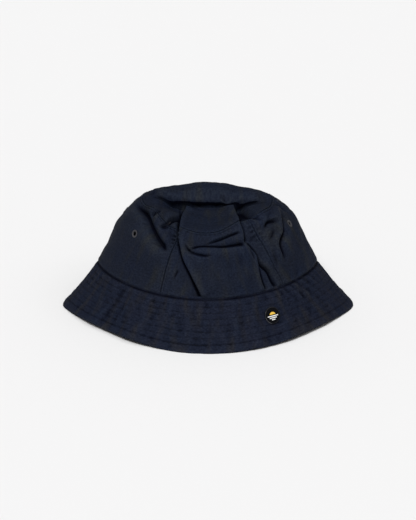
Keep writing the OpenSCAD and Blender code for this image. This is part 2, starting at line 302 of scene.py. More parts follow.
def fold(x, v, points, depth, width, plus, minus, fade):
    """Height of a crease of the given depth, and width on its plus and minus sides.  plus
    and minus describe what lies beside it: the height of the lip at the crease, of the
    swell next to it, and their reach."""
    reach = 3.2 * max(plus[2], minus[2], *width)
    line = np.array(points)
    near = ((x > line[:, 0].min() - reach) & (x < line[:, 0].max() + reach)
            & (v > line[:, 1].min() - reach) & (v < line[:, 1].max() + reach))
    h = np.zeros(x.shape)
    d, s = along(x[near], v[near], points)
    total = -1.6 * depth * bell(d, 0.85 * np.where(d > 0, *width))
    for (lip, swell, far), e in ((plus, d), (minus, -d)):
        q = np.maximum(e, 0) / far
        swelling = swell * q * np.exp(1 - q) * smooth(3.2, 1.6, q)
        total += 1.2 * (lip * bell(q, 1) + swelling) / (1 + np.exp(-e / 0.35))
    h[near] = total * smooth(0, fade[0], s) * smooth(0, fade[1], 1 - s)
    return h


# Folds: line, depth, widths, what lies on the plus and minus sides, and fades.
FRONT_FOLDS = [
    # left pleat, from the roll down to the brim seam
    ([(-20, 96), (-25, 84), (-27, 73), (-28, 64), (-26, 54), (-22, 41), (-15, 27), (-5, 6)],
     4.0, (0.9, 2.0), (2.4, 1.0, 7), (-2.2, -1.0, 9), (0.04, 0.03)),
    # right pleat, from the roll to the corner of the dent
    ([(25, 98), (28, 89), (31, 79), (34, 69), (35, 58)],
     4.0, (2.8, 0.9), (-2.2, -1.5, 8), (1.8, 0.8, 8), (0.05, 0.12)),
    ([(34, 91), (43, 86), (54, 80)],
     2.0, (2.4, 2.4), (0.4, 0.6, 5), (0.4, 0.8, 5), (0.3, 0.35)),
    # the dent across the front panel, and its two branches
    ([(-20, 50), (-7, 55), (14, 55), (35, 57)],
     2.2, (1.9, 0.8), (-1.0, -0.6, 6), (1.3, 1.1, 6), (0.3, 0.06)),
    ([(-4, 57), (9, 62), (21, 66), (32, 69)],
     1.9, (1.2, 1.2), (0.6, 0.5, 5), (0.2, 0.4, 4), (0.35, 0.2)),
    ([(-22, 61), (-18, 53), (-12, 49), (-2, 47), (8, 48)],
     1.7, (1.4, 1.4), (0.6, 0.8, 3.5), (0.0, 0.5, 5), (0.3, 0.4)),
    # creases that fan out of the corner towards the brim
    ([(36, 60), (42, 54), (47, 46), (49, 34), (51, 26), (56, 12)],
     2.8, (1.3, 1.3), (-1.0, -0.5, 6), (1.2, 1.0, 5), (0.1, 0.1)),
    ([(46, 48), (51, 38), (57, 32), (62, 22), (66, 16)],
     2.6, (1.6, 1.6), (0.8, 0.6, 5), (-0.3, 0, 5), (0.35, 0.12)),
    ([(39, 55), (42, 49), (45, 42)],
     1.6, (1.5, 1.5), (0.3, 0.4, 3), (0.2, 0.3, 4), (0.3, 0.4)),
    # long valley down the left side panel
    ([(-69, 97), (-62, 86), (-57, 76), (-51, 65), (-45, 56), (-37, 49)],
     2.6, (4.2, 1.2), (-3.0, -1.6, 8), (1.2, 1.5, 12), (0.15, 0.25)),
    # creases across the top seam, left
    ([(-56, 84), (-50, 89), (-43, 91)],
     2.2, (2.0, 2.4), (0.6, 0.8, 5), (0.0, 0.6, 5), (0.35, 0.35)),
    ([(-48, 74), (-40, 78), (-35, 82), (-30, 84.5), (-25, 85.5)],
     2.8, (1.4, 2.6), (1.0, 1.0, 6), (-0.6, 0.4, 6), (0.25, 0.08)),
    ([(-27, 36), (-32, 24)],
     0.9, (1.3, 1.3), (0.2, 0.2, 3), (0.2, 0.2, 3), (0.4, 0.4)),
    # right side panel
    ([(53, 71), (56, 78), (61, 80), (67, 79)],
     2.2, (2.0, 3.0), (1.0, 1.0, 6), (-0.4, 0.3, 6), (0.35, 0.3)),
    ([(64, 93), (69.5, 84), (71, 70), (67.5, 59), (71, 48), (73.5, 36)],
     2.6, (4.6, 2.2), (0.2, 0.8, 8), (1.8, 1.5, 7), (0.25, 0.4)),
    ([(63, 74), (61, 66), (56, 60)],
     0.9, (3.4, 3.4), (0.6, 0.8, 6), (0.0, 0.4, 5), (0.4, 0.4)),
    ([(62, 98), (70, 94.5), (77, 89)],
     2.4, (2.0, 3.2), (0.6, 0.6, 5), (0.9, 1.2, 7), (0.35, 0.35)),
    ([(58, 55), (64, 44), (67, 34)],
     0.8, (3.2, 3.0), (0.4, 0.5, 6), (0.2, 0.4, 6), (0.4, 0.4)),
]

# Soft dents: centre, radii, turn in degrees and depth.
FRONT_DENTS = [
    ((33, 90), (4.5, 8), 20, 6.5),
    ((41, 85), (7, 4.5), -30, 4.4),
    ((-37, 101), (14, 6), -30, 6.0),
    ((-37, 72), (6, 12), 25, 3.8),
    ((-43, 84), (5, 5), 0, 2.2),
    ((16, 105), (4.0, 9), 42, 4.8),
    ((57, 98), (8, 4), -10, 1.2),
    ((4, 28), (30, 22), 0, -2.4),
    ((2, 61), (26, 7), 4, 1.8),
]

# Folds of the rest of the crown, by angle and height above the brim seam.
BACK_FOLDS = [
    ([(116, 64), (126, 46), (133, 24), (131, 6)],
     1.2, (5.5, 3.6), (0, 1.0, 11), (0, 0.9, 10), (0.4, 0.4)),
    ([(166, 62), (173, 43), (187, 30), (208, 26)],
     1.3, (3.6, 6.0), (0, 1.2, 10), (0, 0.8, 11), (0.35, 0.45)),
    ([(200, 68), (204, 50), (211, 34), (213, 12)],
     1.2, (5.0, 3.6), (0, 1.0, 10), (0, 0.7, 10), (0.3, 0.4)),
    ([(246, 62), (239, 42), (240, 20), (247, 2)],
     1.2, (4.0, 5.5), (0, 1.0, 11), (0, 0.9, 10), (0.35, 0.4)),
    ([(146, 42), (157, 23), (172, 12)],
     0.8, (3.4, 4.4), (0, 0.8, 8), (0, 0.5, 8), (0.45, 0.45)),
    ([(95, 70), (101, 52), (98, 32)],
     0.8, (4.5, 4.5), (0, 0.8, 10), (0, 0.8, 10), (0.45, 0.45)),
]
MM_PER_DEGREE = 1.35       # round the middle of the wall


def crown_folds(p):
    """Fold height at points of the smooth crown that the front view shows."""
    x, v = front_view(p)
    h = np.zeros(x.shape)
    for line in FRONT_FOLDS:
        h += fold(x, v, *line)
    for (cx, cv), (rx, rv), turn, depth in FRONT_DENTS:
        c, s = np.cos(np.radians(turn)), np.sin(np.radians(turn))
        dx, dv = x - cx, v - cv
        h -= depth * np.exp(-((dx * c + dv * s) / rx) ** 2 - ((dv * c - dx * s) / rv) ** 2)
    return h * smooth(14, 0, p[..., 1])


def seam_relief(d, s, gather=1.0):
    """A taped seam with a row of stitches on each side, at distance d from the seam and
    s along it."""
    pucker = (0.25 * gather - 0.13) * np.cos(2 * np.pi * s / 4.4 + 1.3 * np.sin(s / 11))
    pucker = pucker * bell(np.abs(d) - 2.8, 2.8)
    return (-1.5 * bell(d, 0.6) + 0.35 * bell(np.abs(d) - 1.2, 0.9)
            - 0.7 * bell(np.abs(d) - SEAM_ROW, 0.5) + pucker)


SEAM_ROW = 2.3             # from a seam to the rows of stitches beside it


def eased(a, t):
    """Where the front seams and the left front eyelet drift to, as the crumpled wall pulls
    them."""
    left, right = bell(apart(a, FRONT_LEFT), 20), bell(apart(a, FRONT_RIGHT), 22)
    vent = bell(apart(a, TURN - EYELET_ANGLE), 13) * smooth(0.2, 0.6, t)
    return a + 2.0 * left + 2.2 * vent - (2.2 + 3.2 * smooth(0, 0.5, t)) * right


def wall_relief(a, t):
    """Height of everything on the wall but its smooth shape."""
    b = eased(a, t)
    p = wall(b, t)
    climb = t * WALL_RISE
    h = crown_folds(p)
    round_wall = (np.mod(a - 90, 360) + 90) * MM_PER_DEGREE
    for line, *shape in BACK_FOLDS:
        line = [(angle * MM_PER_DEGREE, height) for angle, height in line]
        h += fold(round_wall, climb, line, *shape) * smooth(-4, 8, p[..., 1])
    around = p[..., 0] + 0.6 * p[..., 1]
    uneven = 0.45 * ripple(around, climb, 34, 3, 1.6) + 0.16 * ripple(around, climb, 11, 4, 1.4)
    h += uneven * smooth(1.0, 0.9, t)
    hold = smooth(0, 0.06, t)
    h = np.clip(h, -8, 6) * hold
    across = np.linalg.norm(wall(b + 0.5, t) - wall(b - 0.5, t), axis=-1)
    x, v = front_view(p)
    gather = 1 + 6.0 * bell(np.hypot(x + 33, v - 69), 14) + 2.5 * bell(np.hypot(x - 44, v - 68), 12)
    for seam in SEAMS.values():
        d = apart(a, seam) * across
        h += seam_relief(d, climb, gather) * smooth(-0.02, 0.03, t) * smooth(1.0, 0.97, t)
    h += seam_relief((1 - t) * WALL_RISE, a, 1.3)
    # the seam above the brim: the wall rolls under along it
    return h + 0.3 * bell(climb - 3.0, 2.2) - 2.0 * bell(climb, 1.1)


def top_relief(a, r):
    p = top(a, r)
    h = crown_folds(p)
    x, y = p[..., 0], p[..., 1]
    h += (0.3 * ripple(x, y, 30, 5) + 0.08 * ripple(x, y, 10, 6)) * smooth(1.0, 0.88, r)
    h += 0.7 * ripple(x, y, 42, 8) * smooth(26, 40, y) * smooth(1.0, 0.88, r)
    return np.clip(h, -8, 6) + seam_relief((1 - r) * TOP_REACH, a, 1.3)


def crown_wall(a, t, depth=0.0):
    """Finished wall surface, depth below the outer face of the cloth."""
    a, t = np.broadcast_arrays(np.asarray(a, float), np.asarray(t, float))
    b = eased(a, t)
    return wall(b, t, -depth) + wall_normal(b, t) * wall_relief(a, t)[..., None]


def crown_top(a, r, depth=0.0):
    a, r = np.broadcast_arrays(np.asarray(a, float), np.asarray(r, float))
    a = eased(a, np.ones_like(r))
    inner = wall(a, np.ones_like(r), -depth) - wall(a, np.ones_like(r))
    down = np.asarray(depth)[..., None] * (0.0, 0.0, -1.0)
    sunk = inner * (r**3)[..., None] + down * (1 - r**3)[..., None]
    return top(a, r) + sunk + top_normal(a, r) * top_relief(a, r)[..., None]


# ---- Relief of the brim ----------------------------------

ROW_PITCH = (BRIM_H - HEM_H - 1.5) / QUILT_ROWS
ROW_Z = [HEM_H + k * ROW_PITCH for k in range(QUILT_ROWS + 1)]


def brim_thickness(u):
    """Half thickness of the padded brim: pinched at each row and rounded at the edge."""
    z = BRIM_H * (1 - u)
    rows = np.min([np.abs(z - row) for row in ROW_Z], axis=0)
    half = BRIM_T / 2 - 0.40 * bell(rows, 0.6)
    half = half + 0.45 * bell(z - 3.4, 2.6) - 0.25 * bell(z - HEM_H, 0.4)
    edge = np.clip((1 - u) * BRIM_H / 1.9, 0, 1)
    return half * np.sqrt(1 - (1 - edge) ** 2)


def brim_relief(a, u):
    """Height of the puckers and bends that the whole brim shares."""
    p = brim(a, u)
    x, y = p[..., 0], p[..., 1]
    z = BRIM_H * (1 - u)
    s = a * BRIM_STRETCH
    row = z / ROW_PITCH
    h = 0.55 * ripple(s, z, 26, 21, 3.0) + 0.30 * ripple(s, z, 11, 22, 2.2)
    h += 0.14 * ripple(s + 1.5 * np.sin(row * 6.3), z, 5.6, 23, 1.5)
    h *= 0.35 + 0.65 * smooth(1.0, 0.92, u)
    h += 0.10 * ripple(s, z, 8, 25, 3.0) * smooth(HEM_H + 1, HEM_H - 1, z)
    h += 0.9 * ripple(x, y, 70, 24)
    h *= smooth(-0.02, 0.12, u)
    for (ca, cz), (ra, rz), lean, depth in BRIM_DENTS:
        da = apart(a, ca) * BRIM_STRETCH
        dz = z - cz
        h -= depth * bell(da - lean * dz, ra) * bell(dz, rz)
    # gathers just under the seam, strongest to the right of the badge
    beside = bell(apart(a, 58), 18)
    wave = np.cos((s - 0.6 * (BRIM_H - z)) * 2 * np.pi / 10.5 + 1.8 * np.sin(s / 13))
    h += (0.2 + 1.0 * beside) * wave * smooth(0.0, 0.05, u) * bell(u, 0.12 + 0.42 * beside)
    sideways = np.sin(np.radians(a))
    at_side = np.abs(sideways) ** 8
    h *= away_from_badge(a, u) * (1 - at_side * np.where(sideways > 0, 0.85, 0.6))
    h *= 1 - bell(apart(a, -90), 5)
    return h - 1.3 * bell(z - BRIM_H, 1.0)


# Dents of the brim: (angle, height), (half-length round, half-height), lean, depth.
BRIM_DENTS = [
    ((-52, 26), (7, 10), 0.5, 1.4),
    ((-62, 33), (9, 7), -0.8, 1.3),
    ((-49, 15), (2.6, 11), 0.1, 1.1),
    ((-45.5, 16), (2.0, 12), 0.1, -1.0),
    ((-42.5, 16), (2.2, 12), 0.15, 1.3),
    ((-23, 34), (3, 8), 0.2, 0.8),
    ((12, 20), (2.5, 22), 0.05, -0.5),
    ((55, 24), (4.5, 12), 0.8, 0.9),
    ((66, 22), (5, 11), 0.6, 0.7),
    ((44, 18), (3.5, 14), 0.3, 0.7),
    ((150, 20), (5, 18), 0.4, 1.1),
    ((205, 24), (4, 16), -0.3, 1.2),
    ((235, 20), (6, 14), 0.5, 1.0),
]


def brim_face(a, u, side):
    """Finished face of the brim; side runs from 1, the upper face, to -1, the under."""
    a, u = np.broadcast_arrays(np.asarray(a, float), np.asarray(u, float))
    n = brim_normal(a, u)
    out = brim_relief(a, u) - BRIM_T / 2 + side * brim_thickness(u)
    p = brim(a, u) + n * out[..., None]
    p[..., 2] = np.maximum(p[..., 2] + 0.5 * smooth(0.9, 1, u), 0.02)
    return p


# ---- Meshes ----------------------------------------------


def grid_faces(rows, cols, wrap=False):
    """Quads of a grid of vertices numbered row by row."""
    j = np.arange(rows - 1)[:, None]
    i = np.arange(cols if wrap else cols - 1)[None, :]
    a, b = j * cols + i, j * cols + (i + 1) % cols
    return np.stack(np.broadcast_arrays(a, b, b + cols, a + cols), -1).reshape(-1, 4)


def border(quads, n):
    """Edges that only one of the quads has."""
    edges = np.stack([quads, np.roll(quads, -1, axis=1)], -1).reshape(-1, 2)
    ahead, back = edges[:, 0] * n + edges[:, 1], edges[:, 1] * n + edges[:, 0]
    return edges[~np.isin(back, ahead)]


def hollow(grid, wrap=False, reach=2.4):
    """How far each point of a grid lies below the average of its surroundings, in
    millimetres; the surface faces right-handed from columns to rows."""
    total = grid.copy()
    for axis in (0, 1):
        gap = np.median(np.linalg.norm(np.diff(grid, axis=axis), axis=-1))
        k = max(1, int(round(reach / max(gap, 1e-3))))
        k = min(k, (grid.shape[axis] - 1) // 2)
        mode = "wrap" if wrap and axis == 1 else "reflect"
        pad = [(0, 0)] * 3
        pad[axis] = (k, k)
        odd = {} if mode == "wrap" else {"reflect_type": "odd"}
        wide = np.pad(total, pad, mode=mode, **odd)
        n, count = grid.shape[axis], 2 * k + 1
        total = sum(np.take(wide, range(i, i + n), axis=axis) for i in range(count)) / count
    normal = np.cross(np.gradient(grid, axis=1), np.gradient(grid, axis=0))
    return ((total - grid) * unit(normal)).sum(axis=-1)


def new_object(name, data):
    obj = bpy.data.objects.new(name, data)
    bpy.context.scene.collection.objects.link(obj)
    return obj


def add_mesh(name, points, faces, cloth=None):
    """New object from points in millimetres; cloth gives each point its place on the flat
    cloth, also in millimetres, for the weave, and how hollow it lies there, for painted shade."""
    mesh = bpy.data.meshes.new(name)
    mesh.from_pydata((points / 1000).tolist(), [], [list(map(int, f)) for f in faces])
    if cloth is not None:
        layer = mesh.attributes.new("cloth", "FLOAT_VECTOR", "POINT")
        flat = np.zeros((len(points), 3))
        flat[:, :cloth.shape[1]] = cloth
        layer.data.foreach_set("vector", flat.ravel())
    mesh.polygons.foreach_set("use_smooth", [True] * len(mesh.polygons))
    mesh.validate()
    return new_object(name, mesh)


def shell(name, outer, inner, cloth, wrap=False, keep=None):
    """Closed piece of cloth between an outer and an inner grid of the same size.  Rows
    run up the cloth and columns round it, anticlockwise seen from above.  keep marks
    the points that aren't cut away."""
    rows, cols = outer.shape[:2]
    n = rows * cols
    quads = grid_faces(rows, cols, wrap)
    if keep is not None:
        quads = quads[keep.ravel()[quads].all(axis=1)]
    edge = border(quads, n)
    walls = np.stack([edge[:, 1], edge[:, 0], edge[:, 0] + n, edge[:, 1] + n], -1)
    faces = np.vstack([quads, quads[:, ::-1] + n, walls])
    points = np.vstack([outer.reshape(-1, 3), inner.reshape(-1, 3)])
    # How hollow each point lies, which the cloth's material turns into painted shade and painted
    # highlight
    deep = hollow(outer, wrap) + 0.55 * hollow(outer, wrap, 6.5)
    flat = np.concatenate([np.broadcast_to(cloth, (rows, cols, 2)), deep[..., None]], -1)
    flat = flat.reshape(-1, 3)
    flat = np.vstack([flat, flat * (1, 1, -1)])
    used, faces = np.unique(faces, return_inverse=True)
    return add_mesh(name, points[used], faces.reshape(-1, 4), flat[used])


def finish_piece(obj, material, node):
    """Says what a finished piece of the hat looks like and which CAD node it replaces."""
    obj.data.materials.append(material)
    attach(obj, "hat")
    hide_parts(node)


# ---- Materials -------------------------------------------


class Nodes:
    """Short names for building a node material."""

    def __init__(self, name):
        self.material = bpy.data.materials.new(name)
        self.material.use_nodes = True
        self.tree = self.material.node_tree
        self.shader = self.tree.nodes["Principled BSDF"]

    def add(self, kind, inputs=(), **settings):
        node = self.tree.nodes.new(kind)
        for key, value in settings.items():
            setattr(node, key, value)
        for key, value in dict(inputs).items():
            if hasattr(value, "is_output"):
                self.tree.links.new(value, node.inputs[key])
            else:
                node.inputs[key].default_value = value
        return node

    def math(self, operation, a, b=0.0):
        return self.add("ShaderNodeMath", {0: a, 1: b}, operation=operation).outputs[0]

    def sum(self, *terms):
        """Sum of (output, weight) pairs."""
        weighted = [self.math("MULTIPLY", value, weight) for value, weight in terms]
        total = weighted[0]
        for value in weighted[1:]:
            total = self.math("ADD", total, value)
        return total

    def scaled(self, vector, factors):
        node = self.add("ShaderNodeVectorMath", {0: vector, 1: factors}, operation="MULTIPLY")
        return node.outputs[0]

    def mix(self, factor, a, b, blend="MIX"):
        sockets = {0: factor, 6: a, 7: b}
        node = self.add("ShaderNodeMix", sockets, data_type="RGBA", blend_type=blend)
        return node.outputs[2]

    def bump(self, height, strength, distance=0.0001):
        sockets = {"Strength": strength, "Distance": distance, "Height": height}
        return self.add("ShaderNodeBump", sockets).outputs[0]

    def ramp(self, value, low, high, out_low=0.0, out_high=1.0):
        ends = {1: low, 2: high, 3: out_low, 4: out_high}
        return self.add("ShaderNodeMapRange", {0: value, **ends}).outputs[0]

    def noise(self, place, scale, detail=3.0, rough=0.55):
        node = self.add("ShaderNodeTexNoise",
                        {"Vector": place, "Scale": scale, "Detail": detail, "Roughness": rough})
        return node.outputs[0]

    def set(self, **inputs):
        for key, value in inputs.items():
            socket = self.shader.inputs[key.replace("_", " ")]
            if hasattr(value, "is_output"):
                self.tree.links.new(value, socket)
            else:
                socket.default_value = value


def woven(name, colour, second, roughness, sheen, pitch=0.55, streaks=0.3, tint=None):
    """Twill: diagonal ribs over crossing threads, in a colour that drifts to a second one,
    takes a tint in narrow streaks, and has painted shade in creases and a painted highlight on raised
    folds."""
    m = Nodes(name)
    stored = m.add("ShaderNodeAttribute", attribute_name="cloth").outputs["Vector"]
    across, along_it, painted_shading_mask = m.add("ShaderNodeSeparateXYZ", {0: stored}).outputs
    cloth = m.scaled(stored, (1, 1, 0))
    place = m.add("ShaderNodeTexCoord").outputs["Object"]

    diagonal = m.sum((across, 1), (along_it, 1), (m.noise(cloth, 0.35, 2.0), 1.4))
    rib = m.math("SINE", m.math("MULTIPLY", diagonal, 2 * np.pi / pitch))
    warp = m.math("SINE", m.math("MULTIPLY", across, 2 * np.pi / (pitch * 0.62)))
    weave = m.sum((rib, 0.6), (warp, 0.25))
    fibre = m.noise(cloth, 2.4, 5.0, 0.7)
    slub = m.noise(cloth, 0.55, 4.0, 0.8)

    drift = m.noise(place, 26.0, 4.0, 0.6)
    streak = m.noise(m.scaled(cloth, (0.085, 0.02, 0.0)), 1.0, 3.0, 0.6)
    base = m.mix(m.ramp(m.sum((drift, 1 - streaks), (streak, streaks)), 0.4, 0.64), colour, second)
    if tint:
        narrow = m.noise(m.scaled(cloth, (0.11, 0.030, 0.0)), 1.0, 1.5, 0.4)
        base = m.mix(m.ramp(narrow, 0.50, 0.74, 0.0, 0.9), base, tint)

    # Painted shade in creases and painted highlight on raised folds, both from how hollow the cloth
    # lies
    painted_crease_shade = m.ramp(painted_shading_mask, 0.1, 1.5, 1.0, 0.12)
    painted_ridge_highlight = m.ramp(painted_shading_mask, -0.9, -0.1, 1.28, 1.0)
    thread = m.ramp(m.sum((weave, 1), (m.sum((fibre, 0.6), (slub, 7.8)), 1)), 2.8, 5.6, 0.45, 1.55)
    # thread now holds the weave with the painted shade and painted highlight multiplied in; blue
    # lifts its blue channel so the painted shade stays navy
    thread = m.math("MULTIPLY", thread, m.math("MULTIPLY", painted_crease_shade, painted_ridge_highlight))
    blue = m.ramp(thread, 0.1, 1.5, 0.2, 1.56)
    shade = m.add("ShaderNodeCombineColor", {0: thread, 1: thread, 2: blue}).outputs[0]
    worn = m.ramp(m.sum((drift, 1), (fibre, 0.3)), 0.4, 0.95, roughness - 0.07, roughness + 0.09)
    m.set(Base_Color=m.mix(1.0, base, shade, "MULTIPLY"), Roughness=worn,
          Normal=m.bump(m.sum((weave, 1), (fibre, 0.9)), 0.25), Sheen_Weight=sheen,
          Sheen_Roughness=0.45, Sheen_Tint=(0.6, 0.6, 0.7, 1), Specular_IOR_Level=0.02)
    return m.material


def spun(name, colour, roughness, spec):
    """Twisted sewing thread."""
    m = Nodes(name)
    place = m.add("ShaderNodeTexCoord").outputs["Object"]
    fibre = m.noise(place, 2600.0, 4.0, 0.7)
    drift = m.noise(place, 60.0, 2.0)
    light = tuple(min(1.0, 1.7 * c + 0.006) for c in colour[:3]) + (1,)
    m.set(Base_Color=m.mix(m.ramp(m.sum((fibre, 1), (drift, 1)), 0.7, 1.3), colour, light),
          Roughness=m.ramp(fibre, 0.3, 0.7, roughness - 0.1, roughness + 0.1),
          Normal=m.bump(fibre, 0.35), Specular_IOR_Level=spec)
    return m.material


def hard(name, colour, metallic, roughness, coat=0.0, spec=0.5):
    """Polished metal or enamel with faint smears and scratches."""
    m = Nodes(name)
    place = m.add("ShaderNodeTexCoord").outputs["Object"]
    smear = m.noise(place, 420.0, 4.0, 0.6)
    fine = m.noise(place, 3000.0, 3.0, 0.6)
    dark = tuple(0.8 * c for c in colour[:3]) + (1,)
    m.set(Base_Color=m.mix(m.ramp(smear, 0.35, 0.7), colour, dark), Metallic=metallic,
          Roughness=m.ramp(smear, 0.3, 0.7, roughness * 0.75, roughness * 1.35),
          Normal=m.bump(fine, 0.05, 0.00005),
          Coat_Weight=coat, Coat_Roughness=0.06, Specular_IOR_Level=spec)
    return m.material


def rgb(red, green, blue):
    return (red, green, blue, 1)


NAVY, FADED_NAVY = rgb(0.0073, 0.0101, 0.0186), rgb(0.0090, 0.0112, 0.0173)
VIOLET_NAVY, BROWN_BLACK = rgb(0.0090, 0.0108, 0.0186), rgb(0.0130, 0.0133, 0.0158)
OLIVE_BLACK = rgb(0.0122, 0.0136, 0.0158)
shell_cloth = woven("Upper_twill", NAVY, FADED_NAVY, 0.62, 0.0, tint=OLIVE_BLACK)
brim_cloth = woven("Brim_twill", NAVY, VIOLET_NAVY, 0.62, 0.0, streaks=0.5, tint=BROWN_BLACK)
under_cloth = woven("Under_twill", NAVY, VIOLET_NAVY, 0.66, 0.10)
stiffener_cloth = woven("Interlining", rgb(0.42, 0.41, 0.38), rgb(0.5, 0.48, 0.44), 0.85, 0.1,
                        pitch=0.8)
tape_cloth = woven("Seam_tape", rgb(0.010, 0.010, 0.012), rgb(0.016, 0.015, 0.015), 0.7, 0.15,
                   pitch=0.7)
band_cloth = woven("Sweatband_twill", rgb(0.016, 0.016, 0.019), rgb(0.024, 0.022, 0.022), 0.75, 0.25)
label_cloth = woven("Woven_label", rgb(0.02, 0.02, 0.026), rgb(0.03, 0.03, 0.036), 0.42, 0.2,
                    pitch=0.3)
ribbon_cloth = woven("Printed_label", rgb(0.62, 0.61, 0.58), rgb(0.7, 0.69, 0.66), 0.4, 0.1,
                     pitch=0.3)
dark_thread = spun("Dark_thread", rgb(0.0050, 0.0062, 0.0105), 0.7, 0.03)
eyelet_thread = spun("Eyelet_thread", rgb(0.026, 0.0255, 0.029), 0.6, 0.15)
badge_metal = hard("Badge_metal", rgb(0.085, 0.088, 0.10), 1.0, 0.16)
black_enamel = hard("Black_enamel", rgb(0.002, 0.002, 0.003), 0.0, 0.12, 0.06, spec=0.1)
yellow_enamel = hard("Yellow_enamel", rgb(0.80, 0.50, 0.06), 0.0, 0.2, 0.8)
white_enamel = hard("White_enamel", rgb(0.82, 0.82, 0.79), 0.0, 0.2, 0.8)
clutch_brass = hard("Clutch_brass", rgb(0.62, 0.44, 0.17), 1.0, 0.3)

# ---- Crown -----------------------------------------------


def columns(start, stop, step=STEP):
    return np.linspace(start, stop, int(round((stop - start) / (step * COARSE))) + 1)


def wall_rows(low=0.0, high=1.0, count=110):
    """Rows that crowd towards both seams of the wall.  Every layer of the wall keeps to
    the same rows and columns, so none can show through another."""
    s = np.linspace(0, 1, int(count / COARSE) + 1)
    s = s - 0.06 * np.sin(2 * np.pi * s)
    return s[(s >= low - 1e-6) & (s <= high + 1e-6)][:, None]


def wall_piece(name, start, stop, low=0.0, high=1.0, depth=0.0, thick=SHELL_T, wrap=False,
               holes=()):
    """Layer of the wall between two angles and two shares, depth below the outer face."""
    a = columns(start, stop)[None, :]
    if wrap:
        a = a[:, :-1]
    t = wall_rows(low, high)
    outer, inner = crown_wall(a, t, depth), crown_wall(a, t, depth + thick)
    flat = np.stack(np.broadcast_arrays(a * WALL_STRETCH, t * WALL_RISE), -1)
    keep = np.ones(outer.shape[:2], bool)
    for hole in holes:
        keep &= np.linalg.norm(outer - crown_wall(hole, EYELET_T), axis=-1) > EYELET_HOLE
    return shell(name, outer, inner, flat, wrap, keep)


EYELET_HOLE = 2.4          # radius cut from the cloth, under the ring of thread
EYELETS = {
    "front_left_eyelet": TURN - EYELET_ANGLE,
    "front_right_eyelet": TURN + EYELET_ANGLE,
    "back_right_eyelet": TURN + 180 - EYELET_ANGLE,
    "back_left_eyelet": TURN + 180 + EYELET_ANGLE,
}
PANELS = {
    "front_panel": (FRONT_LEFT, FRONT_RIGHT),
    "right_side_panel": (FRONT_RIGHT, BACK_RIGHT),
    "back_panel": (BACK_RIGHT, BACK_LEFT),
    "left_side_panel": (BACK_LEFT, FRONT_LEFT + 360),
}
for node, (start, stop) in PANELS.items():
    cloth = wall_piece(f"Cloth_{node}", start, stop, holes=EYELETS.values())
    finish_piece(cloth, shell_cloth, node)


def disc(count):
    """Angle and share of the radius over a square grid laid on a disc, so that the rim's
    points fall on even angles."""
    n = int(count / COARSE)
    g = np.linspace(-1, 1, n + 1)
    p, q = np.meshgrid(g, g)
    r = np.maximum(np.abs(p), np.abs(q))
    wide = np.abs(p) >= np.abs(q)
    turn = np.where(wide, q / np.where(p == 0, 1, p), p / np.where(q == 0, 1, q)) * 45
    a = np.where(wide, np.where(p > 0, 90 + turn, 270 + turn), np.where(q > 0, 180 - turn, -turn))
    return np.where(r == 0, 0, a), r


def top_cloth():
    a, r = disc(200)
    flat = np.stack([60 * r * np.sin(np.radians(a)), -58 * r * np.cos(np.radians(a))], -1)
    return shell("Cloth_top_panel", crown_top(a, r), crown_top(a, r, SHELL_T), flat)


top_piece = top_cloth()
finish_piece(top_piece, shell_cloth, "top_panel")

# ---- Brim ------------------------------------------------


def brim_rows(count=78):
    """Rows that crowd towards the rounded edge."""
    s = np.linspace(0, 1, int(count / COARSE) + 1)
    rows = [-0.055, -0.03] + list(s * (1 - 2.4 / BRIM_H))
    rows += [1 - q / BRIM_H for q in (1.9, 1.45, 1.05, 0.7, 0.42, 0.22, 0.08, 0.0)]
    return np.array(rows)[:, None]


def brim_piece(name, start, top_side, low_side, u, step=0.36):
    """Layer of half the brim, between two shares of its thickness."""
    a = columns(start, start + 180, step)[None, :]
    flat = np.stack(np.broadcast_arrays(a * BRIM_STRETCH, u * BRIM_FALL), -1)[::-1]
    outer = brim_face(a, u, top_side)[::-1]
    inner = brim_face(a, u, low_side)[::-1]
    return shell(name, outer, inner, flat)


PLY_SHARE = 1 - 2 * PLY_T / BRIM_T      # where an outer ply ends, as a share of the half
CORE_SHARE = 0.5 * PLY_SHARE
CORE_STEP = 0.9
STIFF_ROWS = np.linspace(STIFF_START, 1 - HEM_H / BRIM_H, int(40 / COARSE))[:, None]
HEM_ROWS = np.linspace(1 - (HEM_H - 0.5) / BRIM_H, 1 - 2.2 / BRIM_H, 7)[:, None]
for half, start in (("front", -90), ("back", 90)):
    upper = brim_piece(f"Cloth_brim_top_{half}", start, 1, PLY_SHARE, brim_rows())
    finish_piece(upper, brim_cloth, f"brim_top_{half}")
    under = brim_piece(f"Cloth_brim_under_{half}", start, -PLY_SHARE, -1, brim_rows())
    finish_piece(under, under_cloth, f"brim_under_{half}")
    core = brim_piece(f"Stiffener_{half}", start, CORE_SHARE, -CORE_SHARE, STIFF_ROWS, CORE_STEP)
    finish_piece(core, stiffener_cloth, f"brim_stiffener_{half}")
    allowance = brim_piece(f"Hem_allowance_{half}", start, CORE_SHARE, -CORE_SHARE, HEM_ROWS,
                           CORE_STEP)
    finish_piece(allowance, shell_cloth, f"hem_allowance_{half}")

# ---- Inside of the crown ---------------------------------

TAPE_HALF = 4.5            # degrees
for name, seam in SEAMS.items():
    tape = wall_piece(f"Tape_{name}", seam - TAPE_HALF, seam + TAPE_HALF, 0.0, TAPE_LOW,
                      TAPE_AT, TAPE_T)
    finish_piece(tape, tape_cloth, f"{name}_seam_tape")


def slack(relief):
    """How far to sink a tape to where its surroundings are lowest, because its grid and
    the cloth's differ on steep folds."""
    low = relief
    for _ in range(2):
        wide = np.pad(low, ((1, 1), (0, 0)), mode="edge")
        beside = np.minimum(np.roll(low, 1, 1), np.roll(low, -1, 1))
        low = np.minimum.reduce([low, wide[2:], wide[:-2], beside])
    return relief - low


